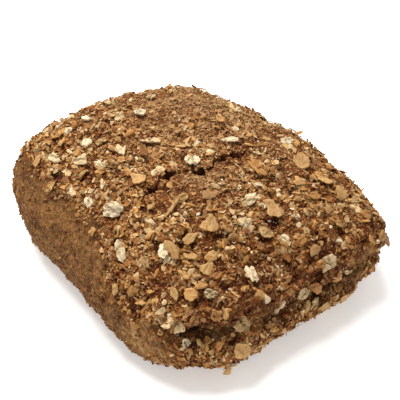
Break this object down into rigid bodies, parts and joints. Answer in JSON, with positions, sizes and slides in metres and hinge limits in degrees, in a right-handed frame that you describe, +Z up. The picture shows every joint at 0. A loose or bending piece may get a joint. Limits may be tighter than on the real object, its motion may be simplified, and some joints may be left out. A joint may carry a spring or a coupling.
{
  "type": "wholegrain spelt roll",
  "caption": "Brick-shaped wholegrain bread roll with a low domed top, bare dough sides, and spelt flakes and bran baked onto its top and both ends.",
  "frame": {"origin": "middle of the flat base that the roll rests on", "axes": "+X along the roll to its low near end, +Y across it to the far long side, +Z up"},
  "size_m": [0.1014, 0.0809, 0.0374],
  "materials": {
    "crust": "matt baked crust of wholegrain dough with bran and flakes; cardboard stands in for bread"
  },
  "bodies": {
    "root": {"roll": "crust"}
  },
  "joints": []
}
